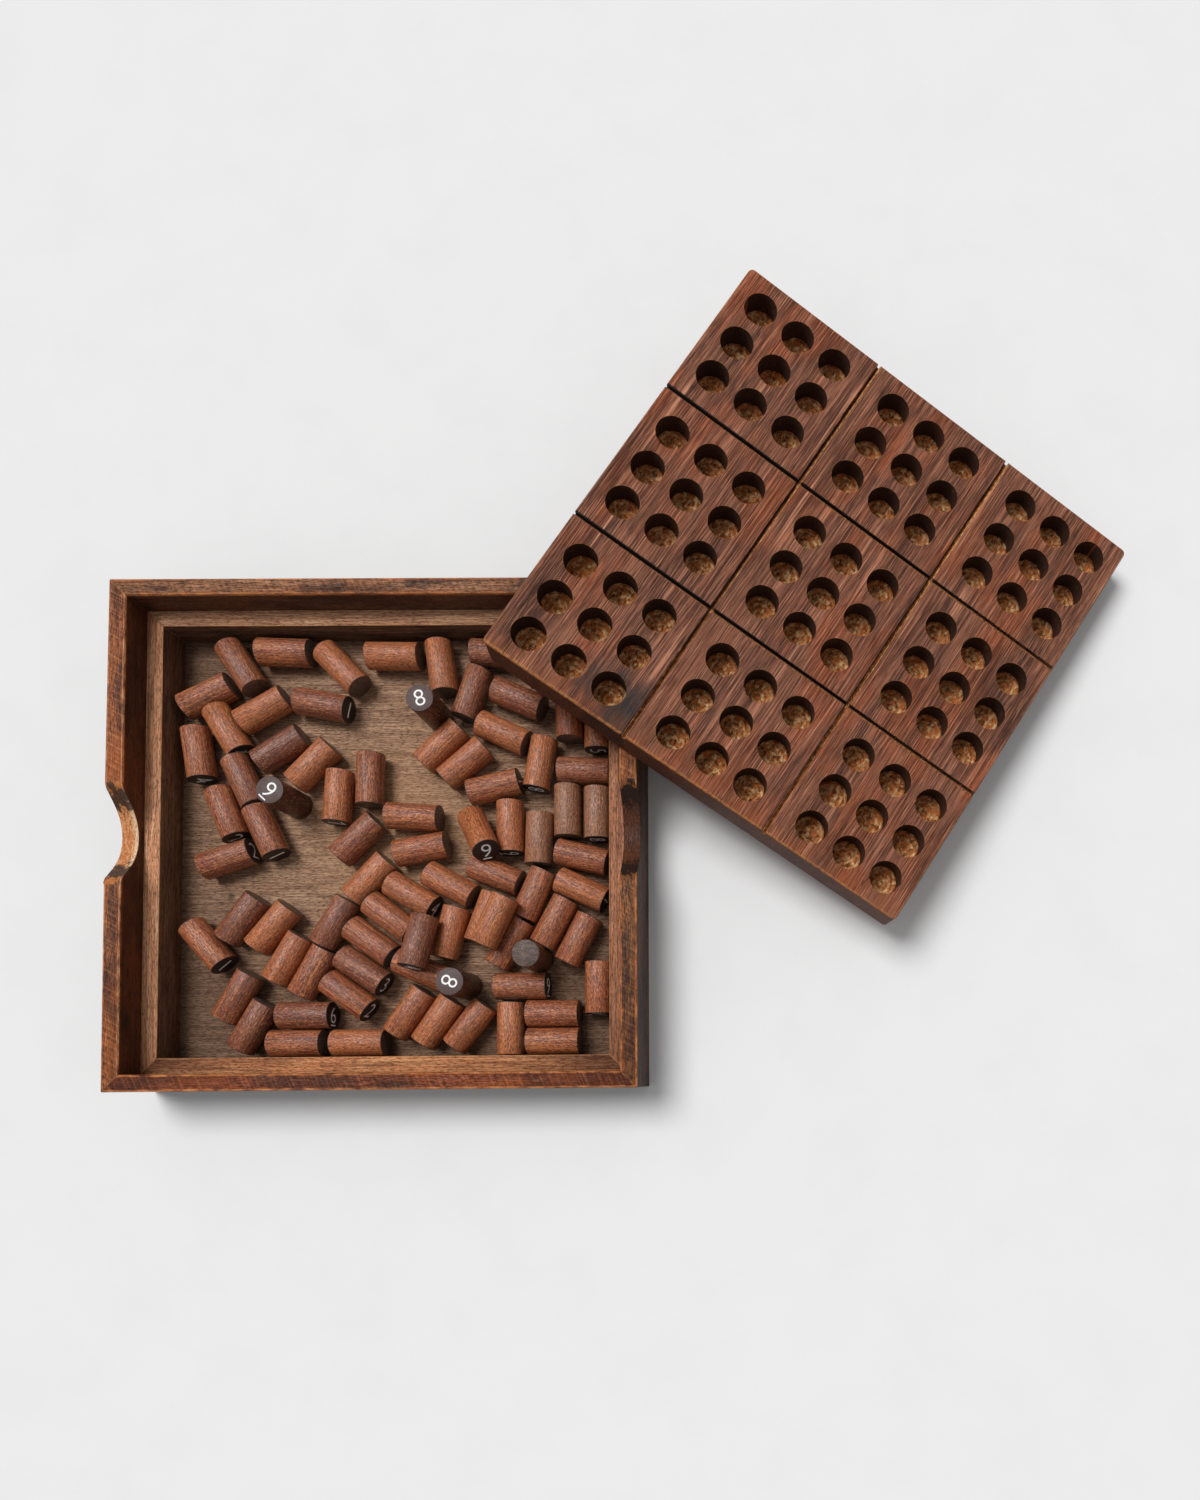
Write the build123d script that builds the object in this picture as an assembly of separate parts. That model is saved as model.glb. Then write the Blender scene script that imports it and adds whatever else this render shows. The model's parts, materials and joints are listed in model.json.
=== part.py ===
from build123d import *
from dataclasses import dataclass
from itertools import combinations
from math import asin, atan2, cos, hypot, radians, sin, sqrt
import os

# A wooden sudoku set: an open tray with 81 dowel pegs in it, and a drilled board that
# leans on the tray's right wall. Millimetres, +Z up. The origin is the middle of the
# tray's underside, +X points to the wall that carries the board and +Y away from the
# player.

# Pegs and the holes that take them
peg_diameter = 13.2
peg_length = 25.5
peg_clearance = 1.15
hole_depth = 12.0

# Board: blocks of holes with a saw kerf between one block and the next
holes_per_block = 3
blocks_per_side = 3
hole_web = 5.1
block_gap = 13.1
board_margin = 6.75
board_thickness = 18.0
board_corner_radius = 2.5
kerf_width = 1.5
kerf_depth = 2.5

# Tray: the board drops in between the walls and sits on the ledges, over the pegs
board_play_x = 5.0
board_play_y = 2.0
board_proud = 4.0
peg_headroom = 2.8
ledge_width = 7.7
wall_thickness = 8.0
floor_thickness = 4.5
floor_rebate = 4.0
arris_ease = 0.6

# Finger notches in the left and right walls: a round cut, this long at the rim
notch_length = 40.0
notch_depth = 11.0

# How the board leans: its middle lies this far down the slope from the wall that
# carries it and this far back, and it is turned clockwise seen from above
board_reach = 86.7
board_back = 108.4
board_turn = 33.0

# Pegs keep this far apart, and a piece keeps the smaller gap over what it rests on
peg_gap = 0.3
rest_gap = 0.05
cutter_overshoot = 2.0

# Values that follow from the sizes above
peg_radius = peg_diameter / 2
hole_radius = peg_radius + peg_clearance
hole_pitch = 2 * hole_radius + hole_web
cells_per_side = holes_per_block * blocks_per_side
block_pitch = holes_per_block * hole_pitch + block_gap
hole_span = (cells_per_side - 1) * hole_pitch + (blocks_per_side - 1) * block_gap
board_side = hole_span + 2 * (hole_radius + board_margin)
inside_width = board_side + 2 * board_play_x
inside_depth = board_side + 2 * board_play_y
tray_width = inside_width + 2 * wall_thickness
tray_depth = inside_depth + 2 * wall_thickness
ledge_height = peg_diameter + peg_headroom
tray_height = floor_thickness + ledge_height + board_thickness - board_proud
well_half_width = inside_width / 2 - ledge_width
well_half_depth = inside_depth / 2 - ledge_width

# Pegs that lie on the floor, by number: the middle of each peg, in hundredths of how far
# it can go to the right and back before it is at the ledge, and the direction of its
# numbered end in degrees from +X
lying_pegs = {
    1: [(-56.9, 98.6, 178), (-37.3, 72.7, -11), (-65.1, 7.1, -65), (23.5, 96.7, 98),
        (53.3, 29.4, 13), (99.6, -25.4, -25), (-95.7, -54.8, -50), (9.2, -92.3, -125),
        (83.2, -86.2, 180)],
    2: [(-98.4, 80.0, -154), (-59.7, 51.7, 32), (-42.4, 43.7, 46), (-84.5, 17.1, -68),
        (-86.6, -7.2, 18), (58.0, 58.9, 155), (-18.5, 3.0, 44), (-22.8, -81.6, -36),
        (40.0, -99.3, 53)],
    3: [(-79.4, 98.4, 123), (-76.1, 34.6, 115), (0.0, 96.2, 179), (37.4, 44.0, -139),
        (99.3, -7.9, 166), (94.9, -53.3, 63), (-29.4, -42.9, 60), (-15.4, -68.0, -34),
        (-70.8, -99.1, 60)],
    4: [(-96.9, 49.7, -81), (-85.6, 62.8, -59), (54.3, 97.8, 177), (10.2, -27.7, -31),
        (-0.9, -39.6, 143), (15.3, -67.0, 156), (28.9, -48.9, 76), (83.4, -100.0, 180)],
    5: [(66.0, 77.2, 157), (85.9, 70.4, 91), (99.7, 64.0, -90), (30.2, -22.3, 151),
        (-77.8, -40.5, 53), (23.5, -97.3, -124), (83.8, 100.0, 0), (99.6, 96.5, 90),
        (84.7, 86.1, 180)],
    6: [(-27.6, 96.9, 134), (-69.0, 72.7, -150), (-11.5, 34.9, 89), (25.0, 53.8, 45),
        (84.9, 16.7, 90), (-12.1, -19.2, -133), (-43.7, -86.3, 0), (-40.4, -69.9, -119)],
    7: [(-27.2, 25.6, -94), (39.8, 82.8, 71), (71.3, 1.8, 88), (71.6, -28.4, 66),
        (47.0, -41.1, 70), (60.1, -55.1, -120), (-16.5, -100.0, 180), (-78.8, -82.9, 60)],
    8: [(73.1, 43.4, -100), (99.5, 36.6, 178), (99.4, 15.5, -90), (10.6, 13.7, 176),
        (-62.0, -45.2, -130), (-53.6, -62.3, 59), (57.3, -99.8, 90)],
    9: [(57.1, 8.4, -89), (82.5, -43.7, 62), (54.3, -16.5, 158), (15.0, -3.0, -170),
        (-11.0, -52.9, 144), (-48.4, -100.0, 180), (66.8, -72.4, 0)],
}

# Pegs that stand on end, by number, in the same hundredths
standing_pegs = {6: [(70.3, -58.6)], 8: [(20.1, 66.3), (34.6, -71.6)], 9: [(-49.6, 21.7)]}

# Pegs that lie across others, by number: as for a lying peg, then how far the numbered
# end points up, in degrees
propped_pegs = {
    4: [(17.3, -51.5, -101, 8)],
    7: [(55.7, -45.0, 65, 0)],
    9: [(43.2, 3.7, -60, 26)],
}


@dataclass
class Peg:
    """One peg: its middle, the direction of its numbered end and that end's rise."""
    number: int
    x: float
    y: float
    z: float
    turn: float
    rise: float


def floor_reach(peg, nx, ny):
    """How far the footprint of a peg on the floor reaches from its middle towards nx, ny."""
    if peg.rise:
        return peg_radius
    ux = cos(radians(peg.turn))
    uy = sin(radians(peg.turn))
    return peg_length / 2 * abs(nx * ux + ny * uy) + peg_radius * abs(nx * uy - ny * ux)


def floor_limits(peg):
    """How far the middle of a peg can go to the right and back before it is at the ledge."""
    limit_x = well_half_width - peg_gap - floor_reach(peg, 1, 0)
    limit_y = well_half_depth - peg_gap - floor_reach(peg, 0, 1)
    return limit_x, limit_y


def widest_room(first, second):
    """The room between two pegs on the floor, and the direction in which it is widest."""
    apart_x = second.x - first.x
    apart_y = second.y - first.y
    directions = [atan2(apart_y, apart_x)]
    for peg in (first, second):
        directions += [radians(peg.turn), radians(peg.turn + 90)]
    choices = []
    for direction in directions:
        nx = cos(direction)
        ny = sin(direction)
        apart = apart_x * nx + apart_y * ny
        if apart < 0:
            nx, ny, apart = -nx, -ny, -apart
        room = apart - floor_reach(first, nx, ny) - floor_reach(second, nx, ny)
        choices.append((room, nx, ny))
    return max(choices)


def spread_out(pegs, rounds=1000):
    """Moves the pegs on the floor until each pair keeps its gap and none meets a ledge."""
    longest_reach = hypot(peg_length, peg_diameter) + peg_gap
    for _ in range(rounds):
        crowded = False
        for first, second in combinations(pegs, 2):
            if hypot(second.x - first.x, second.y - first.y) > longest_reach:
                continue
            room, nx, ny = widest_room(first, second)
            if room < peg_gap:
                crowded = True
                push = (peg_gap - room + rest_gap) / 2
                first.x -= nx * push
                first.y -= ny * push
                second.x += nx * push
                second.y += ny * push
        for peg in pegs:
            limit_x, limit_y = floor_limits(peg)
            peg.x = max(-limit_x, min(limit_x, peg.x))
            peg.y = max(-limit_y, min(limit_y, peg.y))
        if not crowded:
            return


def top_height(pegs, x, y):
    """The height of the floor, or of the peg on it, at x, y."""
    heights = [floor_thickness]
    for peg in pegs:
        apart_x = x - peg.x
        apart_y = y - peg.y
        if peg.rise:
            if hypot(apart_x, apart_y) < peg_radius + peg_gap:
                heights.append(peg.z + peg_length / 2)
            continue
        ux = cos(radians(peg.turn))
        uy = sin(radians(peg.turn))
        across = abs(apart_x * uy - apart_y * ux)
        if abs(apart_x * ux + apart_y * uy) < peg_length / 2 and across < peg_radius:
            heights.append(peg.z + sqrt(peg_radius**2 - across**2))
    return max(heights)


def seat_on_others(peg, pegs, samples=30):
    """Lowers a propped peg until its underside is a hair above the pegs below it."""
    reach = hypot(peg_length, peg_diameter)
    near = [other for other in pegs if hypot(other.x - peg.x, other.y - peg.y) < reach]
    turn = radians(peg.turn)
    rise = radians(peg.rise)
    needed = []
    steps = range(-samples, samples + 1)
    for along in [peg_length / 2 * step / samples for step in steps]:
        for around in [radians(90 * step / samples) for step in steps]:
            ahead = along * cos(rise) + peg_radius * cos(around) * sin(rise)
            aside = peg_radius * sin(around)
            lift = along * sin(rise) - peg_radius * cos(around) * cos(rise)
            x = peg.x + ahead * cos(turn) - aside * sin(turn)
            y = peg.y + ahead * sin(turn) + aside * cos(turn)
            needed.append(top_height(near, x, y) - lift)
    peg.z = max(needed) + peg_gap


def settled_pegs():
    """Every peg, where it comes to rest in the tray."""
    lying_height = floor_thickness + peg_radius + rest_gap
    standing_height = floor_thickness + peg_length / 2 + rest_gap
    on_floor = []
    propped = []
    for number in range(1, cells_per_side + 1):
        for x, y, turn in lying_pegs[number]:
            on_floor.append(Peg(number, x, y, lying_height, turn, 0))
        for x, y in standing_pegs.get(number, []):
            on_floor.append(Peg(number, x, y, standing_height, 0, 90))
        for x, y, turn, rise in propped_pegs.get(number, []):
            propped.append(Peg(number, x, y, 0, turn, rise))
    for peg in on_floor + propped:
        limit_x, limit_y = floor_limits(peg)
        peg.x *= limit_x / 100
        peg.y *= limit_y / 100
    spread_out(on_floor)
    for peg in propped:
        seat_on_others(peg, on_floor)
    return on_floor + propped


def peg_solid(peg):
    """A peg's dowel, sawn square at both ends."""
    aim = Rot(0, 0, peg.turn) * Rot(0, 90 - peg.rise, 0)
    return Pos(peg.x, peg.y, peg.z) * aim * Cylinder(peg_radius, peg_length)


def mitred_strip(along_x, half_x, half_y, width, height, base):
    """The front or right strip of a mitred frame, standing on z = base."""
    if along_x:
        outer = [(-half_x, -half_y), (half_x, -half_y)]
        inner = [(half_x - width, -half_y + width), (-half_x + width, -half_y + width)]
    else:
        outer = [(half_x, -half_y), (half_x, half_y)]
        inner = [(half_x - width, half_y - width), (half_x - width, -half_y + width)]
    outline = Polyline(*outer, *inner, close=True)
    return Pos(0, 0, base) * extrude(make_face(outline), height)


def half_round(solid):
    """The same piece on the opposite side of the tray."""
    return Rot(0, 0, 180) * solid


def floor_panel():
    """The thin panel, let into a rebate round the foot of the walls."""
    width = inside_width + 2 * floor_rebate
    depth = inside_depth + 2 * floor_rebate
    return Pos(0, 0, floor_thickness / 2) * Box(width, depth, floor_thickness)


def wall(along_x):
    """The front or right wall, with its rebate and the eased edges of its rim."""
    strip = mitred_strip(along_x, tray_width / 2, tray_depth / 2, wall_thickness, tray_height, 0)
    rim_edges = strip.faces().sort_by(Axis.Z)[-1].edges().sort_by(SortBy.LENGTH)[-2:]
    return chamfer(rim_edges, arris_ease) - floor_panel()


def notch_cutter():
    """The round cutter that scoops both finger notches out of the rim."""
    radius = (notch_length**2 / 4 + notch_depth**2) / (2 * notch_depth)
    axis_height = tray_height - notch_depth + radius
    return Pos(0, 0, axis_height) * Rot(0, 90, 0) * Cylinder(radius, tray_width + cutter_overshoot)


def ledge(along_x):
    """The front or right batten, which carries the board when it is put away."""
    half_x = inside_width / 2
    half_y = inside_depth / 2
    return mitred_strip(along_x, half_x, half_y, ledge_width, ledge_height, floor_thickness)


def cell_offset(index):
    """The middle of a row or column of holes, from the board's centre."""
    block = index // holes_per_block
    middle_cell = (cells_per_side - 1) / 2
    middle_block = (blocks_per_side - 1) / 2
    return (index - middle_cell) * hole_pitch + (block - middle_block) * block_gap


def board():
    """The drilled board on its own axes, its underside on z = 0."""
    slab = Pos(0, 0, board_thickness / 2) * Box(board_side, board_side, board_thickness)
    slab = fillet(slab.edges().filter_by(Axis.Z), board_corner_radius)
    faces_by_height = slab.faces().sort_by(Axis.Z)
    slab = chamfer(faces_by_height[-1].edges() + faces_by_height[0].edges(), arris_ease)
    centres = [cell_offset(index) for index in range(cells_per_side)]
    drill = Pos(0, 0, board_thickness - hole_depth / 2) * Cylinder(hole_radius, hole_depth)
    drills = [Pos(x, y, 0) * drill for x in centres for y in centres]
    kerf_middle = board_thickness - kerf_depth / 2
    kerfs = []
    for cut in range(1, blocks_per_side):
        offset = (cut - blocks_per_side / 2) * block_pitch
        kerfs.append(Pos(offset, 0, kerf_middle) * Box(kerf_width, board_side, kerf_depth))
        kerfs.append(Pos(0, offset, kerf_middle) * Box(board_side, kerf_width, kerf_depth))
    return slab - drills - kerfs


def leaning_place():
    """Where the board rests: its underside on the right wall's rim, one corner on the table."""
    turn = radians(board_turn)
    corner_reach = board_reach + board_side / 2 * (cos(turn) + sin(turn))
    tilt = asin(tray_height / corner_reach)
    down_slope = Vector(cos(tilt), 0, -sin(tilt))
    away = Vector(0, 1, 0)
    upward = Vector(sin(tilt), 0, cos(tilt))
    rest_line = Vector(tray_width / 2 - arris_ease, 0, tray_height)
    middle = rest_line + down_slope * board_reach + away * board_back + upward * rest_gap
    along_board = down_slope * cos(turn) - away * sin(turn)
    return Plane(origin=middle, x_dir=along_board, z_dir=upward).location


pieces = {
    "wall_front": wall(True),
    "wall_back": half_round(wall(True)),
    "wall_right": wall(False) - notch_cutter(),
    "wall_left": half_round(wall(False) - notch_cutter()),
    "ledge_front": ledge(True),
    "ledge_back": half_round(ledge(True)),
    "ledge_right": ledge(False),
    "ledge_left": half_round(ledge(False)),
    "floor_panel": floor_panel(),
    "board": leaning_place() * board(),
}
pegs = settled_pegs()
for number in range(1, cells_per_side + 1):
    pieces[f"pegs_{number}"] = Compound(children=[peg_solid(peg) for peg in pegs if peg.number == number])

os.makedirs("parts", exist_ok=True)
for name, piece in pieces.items():
    export_step(piece, f"parts/{name}.step")
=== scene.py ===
import json
import logging
import math
from collections.abc import Iterable, Iterator
from dataclasses import dataclass, field
from enum import Enum
from functools import cached_property
from random import Random

import bmesh
import bpy
from mathutils import Euler, Matrix, Vector, noise


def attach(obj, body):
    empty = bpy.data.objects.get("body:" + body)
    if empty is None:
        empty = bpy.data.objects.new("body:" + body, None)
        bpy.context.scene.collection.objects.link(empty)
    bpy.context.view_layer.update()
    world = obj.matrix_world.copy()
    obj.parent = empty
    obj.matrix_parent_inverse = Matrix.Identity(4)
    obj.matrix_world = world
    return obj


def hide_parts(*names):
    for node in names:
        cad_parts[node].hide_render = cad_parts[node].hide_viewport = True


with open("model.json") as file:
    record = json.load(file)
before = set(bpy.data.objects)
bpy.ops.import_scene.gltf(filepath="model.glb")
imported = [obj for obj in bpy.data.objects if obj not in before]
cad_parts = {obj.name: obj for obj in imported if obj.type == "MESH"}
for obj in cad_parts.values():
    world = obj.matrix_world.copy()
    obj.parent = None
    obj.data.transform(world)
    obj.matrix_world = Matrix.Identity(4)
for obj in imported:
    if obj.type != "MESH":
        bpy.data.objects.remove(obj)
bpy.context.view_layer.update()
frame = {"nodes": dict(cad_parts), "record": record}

MM = 0.001
# CAD corners nearer than this are one corner, and faces that turn less than this are one face
WELD_MM = 0.002
FLAT_DEGREES = 0.7
# Edges that turn by more than this stay crisp in the shading, and those past the next are eased
CRISP_DEGREES = 28.0
ARRIS_DEGREES = 25.0
# The share of up in the direction of a face that lies level, and of one that stands upright
LEVEL = 0.9
UPRIGHT = 0.3
Shape = bmesh.types.BMesh
Socket = bpy.types.NodeSocket
Material = bpy.types.Material
log = logging.getLogger("sudoku_set")


class Mark(Enum):
    """Where a face lies on its piece, as the finishes read it from the mesh."""

    ARRIS = "arris"
    BORE = "bore"
    SEAT = "seat"
    GOUGE = "gouge"
    KERF = "kerf"
    SIDE = "side"
    SCOOP = "scoop"
    INKED = "inked"
    BARE = "bare"


class Run(Enum):
    """The way a piece's grain runs, as degrees about Z from the tray's X axis."""

    ALONG_X = 0.0
    ALONG_Y = 90.0


def linear(colour: str) -> tuple[float, float, float, float]:
    """Turns an sRGB hex colour to the linear values that a shader takes.

    Args:
        colour: six hex digits after a hash sign.

    Returns:
        Red, green and blue in linear light, and an alpha of 1.
    """
    parts = [int(colour[i:i + 2], 16) / 255 for i in (1, 3, 5)]
    light = [c / 12.92 if c <= 0.04045 else ((c + 0.055) / 1.055) ** 2.4 for c in parts]
    return (light[0], light[1], light[2], 1.0)


class Surface:
    """A material that is laid up on one shader, coat over coat."""

    def __init__(self, finish: "Wood | Plain") -> None:
        """Starts the material with its shader and output.

        Args:
            finish: gives the name, the roughness, the index of refraction and the specular
                level, of which 0.5 is what the index of refraction gives.
        """
        self.material = bpy.data.materials.new(finish.name)
        self.material.use_nodes = True
        self.tree = self.material.node_tree
        self.tree.nodes.clear()
        shader = self.add("BsdfPrincipled", {
            "Roughness": finish.roughness, "IOR": finish.ior, "Specular IOR Level": finish.gloss})
        self.add("OutputMaterial", {"Surface": shader})
        self.inputs = shader.node.inputs
        self.place = self.add("TexCoord", output="Object")
        self.grain = self.place
        self.colour: Socket | tuple | None = None
        self.normal: Socket | None = None

    def add(self, kind: str, sockets: dict | None = None, output: int | str = 0,
            **settings: object) -> Socket | None:
        """Adds one node with its settings, values and links.

        Args:
            kind: the node's type name after ShaderNode.
            sockets: input name or number to a value, or to the socket that feeds it.
            output: which of the node's outputs is wanted.
            settings: properties of the node itself.

        Returns:
            That output, or nothing from the node that ends the tree.
        """
        made = self.tree.nodes.new(f"ShaderNode{kind}")
        for name, value in settings.items():
            setattr(made, name, value)
        for key, value in (sockets or {}).items():
            if isinstance(value, Socket):
                self.tree.links.new(value, made.inputs[key])
            else:
                made.inputs[key].default_value = value
        return made.outputs[output] if made.outputs else None

    @cached_property
    def parts(self) -> list[Socket]:
        """The piece's own X, Y and Z, in metres."""
        return list(self.add("SeparateXYZ", {0: self.place}).node.outputs)

    @cached_property
    def away(self) -> list[Socket]:
        """How far a place is from the middle along X and along Y."""
        return [self.add("Math", {0: part}, operation="ABSOLUTE") for part in self.parts[:2]]

    @cached_property
    def grain_parts(self) -> list[Socket]:
        """The grain's own X, Y and Z, in metres."""
        return list(self.add("SeparateXYZ", {0: self.grain}).node.outputs)

    @cached_property
    def facing_up(self) -> Socket:
        """1 where the surface faces straight up, and 0 where it is upright."""
        return self.add("SeparateXYZ", {0: self.add("NewGeometry", output="Normal")}, 2)

    def marked(self, mark: Mark) -> Socket:
        """1 on the faces that carry the mark, and 0 elsewhere."""
        return self.add("Attribute", output="Fac", attribute_name=mark.value)

    def far_from(self, spot: Vector) -> Socket:
        """How far a place is from a spot, in metres."""
        return self.add("VectorMath", {0: self.place, 1: spot}, "Value", operation="DISTANCE")

    def uneven(self, value: Socket, marks: Socket, by: float) -> Socket:
        """A value that marks raise by up to an amount."""
        return self.add("Math", {0: marks, 1: by, 2: value}, operation="MULTIPLY_ADD")

    def both(self, *masks: Socket | float) -> Socket | float:
        """The share of the first mask that lies in all the others.

        Args:
            masks: sockets or numbers, each from 0 to 1.

        Returns:
            Their product.
        """
        if len(masks) == 1:
            return masks[0]
        return self.add("Math", {0: masks[0], 1: self.both(*masks[1:])}, operation="MULTIPLY")

    def within(self, value: Socket, full: float, none: float) -> Socket:
        """A mask that is 1 at the value full and fades to 0 at the value none.

        Args:
            value: what is measured, such as a distance in metres.
            full: where the mask is 1.
            none: where it has faded out.

        Returns:
            A socket from 0 to 1.
        """
        sockets = {"Value": value, "From Min": full, "From Max": none, "To Min": 1.0, "To Max": 0.0}
        return self.add("MapRange", sockets, interpolation_type="SMOOTHSTEP")

    def turn_grain(self, turn: Euler, origin: Vector = Vector()) -> None:
        """Sets the axes that the grain runs on.

        Args:
            turn: how the axes are turned; X runs along the grain.
            origin: where they start, in metres.
        """
        sockets = {"Vector": self.place, "Location": origin, "Rotation": turn}
        self.grain = self.add("Mapping", sockets, vector_type="TEXTURE")

    def streaks(self, size_mm: tuple[float, float], levels: tuple[float, float], shift: float = 0.0,
                detail: float = 3.0) -> Socket:
        """A mask of marks drawn out along the grain.

        Args:
            size_mm: a mark's width across the grain, and its length.
            levels: the noise level at which a mark begins, and the one at which it is full.
            shift: moves the pattern, so that two masks differ.
            detail: octaves of finer noise.

        Returns:
            A socket from 0 to 1.
        """
        width_mm, length_mm = size_mm
        shrink = (width_mm / length_mm, 1.0, 1.0)
        drawn = self.add("VectorMath", {0: self.grain, 1: shrink, 2: (shift,) * 3}, operation="MULTIPLY_ADD")
        texture = self.add("TexNoise", {
            "Vector": drawn, "Scale": 1 / (width_mm * MM), "Detail": detail, "Roughness": 0.6})
        return self.add("MapRange", {"Value": texture, "From Min": levels[0], "From Max": levels[1]},
                        interpolation_type="SMOOTHSTEP")

    def coat(self, colour: str, *where: Socket | float) -> None:
        """Lays a colour over what is there.

        Args:
            colour: sRGB hex.
            where: the masks that it stays within, and the share of it that shows.
        """
        if self.colour is None:
            self.colour = linear(colour)
        else:
            sockets = {0: self.both(*where), 6: self.colour, 7: linear(colour)}
            self.colour = self.add("Mix", sockets, 2, data_type="RGBA")

    def figure(self, colour: str, share: float, size_mm: tuple[float, float], levels: tuple[float, float],
               shift: float = 0.0, detail: float = 3.0, inside: Socket | None = None) -> Socket:
        """Lays a colour in marks drawn out along the grain.

        Args:
            colour: sRGB hex.
            share: how much of it shows in a mark.
            size_mm: a mark's width and length, as for streaks.
            levels: the noise levels, as for streaks.
            shift: moves the pattern.
            detail: octaves of finer noise.
            inside: a mask that the marks stay within.

        Returns:
            The mask of the marks.
        """
        marks = self.streaks(size_mm, levels, shift, detail)
        self.coat(colour, *([inside] if inside else []), marks, share)
        return marks

    def emboss(self, height: Socket, depth_mm: float) -> None:
        """Raises the surface by a pattern, over what is already raised.

        Args:
            height: the pattern, from 0 to 1.
            depth_mm: its real depth.
        """
        sockets = {"Height": height, "Distance": depth_mm * MM, "Strength": 1.0}
        if self.normal is not None:
            sockets["Normal"] = self.normal
        self.normal = self.add("Bump", sockets)

    def sink(self, marks: Socket, depth_mm: float) -> None:
        """Lowers the surface where marks are."""
        self.emboss(self.add("Math", {0: 1.0, 1: marks}, operation="SUBTRACT"), depth_mm)

    def finished(self) -> Material:
        """Links the coats and the relief to the shader.

        Returns:
            The material.
        """
        self.tree.links.new(self.colour, self.inputs["Base Color"])
        if self.normal is not None:
            self.tree.links.new(self.normal, self.inputs["Normal"])
        return self.material


@dataclass(frozen=True)
class Wood:
    """Stained open-pored hardwood, sanded along the grain.

    The eye sees broad streaks a few millimetres wide, fine fibres over them and short
    dark pores, all drawn out along the grain.
    """

    name: str
    ground: str
    pale: str
    dark: str
    pore: str
    roughness: float = 0.55
    ior: float = 1.5
    # Brushed and stained fibre scatters most of the gloss that its index of refraction gives
    gloss: float = 0.22
    streak_mm: float = 6.0
    fibre_mm: float = 0.9
    pore_mm: float = 0.5
    fibres: float = 0.55
    pores: float = 0.75
    relief_mm: float = 0.15
    shift: float = 0.0
    straightness: float = 1.0

    def laid_up(self, surface: Surface) -> None:
        """Lays the wood's own figure: streaks, fibres and pores.

        Args:
            surface: the material being laid up.
        """
        move, run, wide, fine = self.shift, self.straightness, self.streak_mm, self.fibre_mm
        surface.coat(self.ground)
        surface.figure(self.pale, 0.7, (wide, wide * 22 * run), (0.44, 0.64), move)
        surface.figure(self.dark, 0.65, (wide * 0.8, wide * 16 * run), (0.46, 0.64), move + 3.1)
        fibre = surface.figure(self.pale, self.fibres, (fine, fine * 24 * run), (0.42, 0.6), move + 7.7, 4.0)
        surface.figure(self.dark, self.fibres, (fine * 0.8, fine * 20 * run), (0.47, 0.6), move + 15.9, 4.0)
        # Real pores are about 0.15 mm wide; they are drawn coarser, so that they show
        size_mm = (self.pore_mm, self.pore_mm * 6 * run)
        pore = surface.figure(self.pore, self.pores, size_mm, (0.53, 0.62), move + 11.3, 2.0)
        surface.emboss(fibre, self.relief_mm)
        surface.sink(pore, self.relief_mm)


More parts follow.
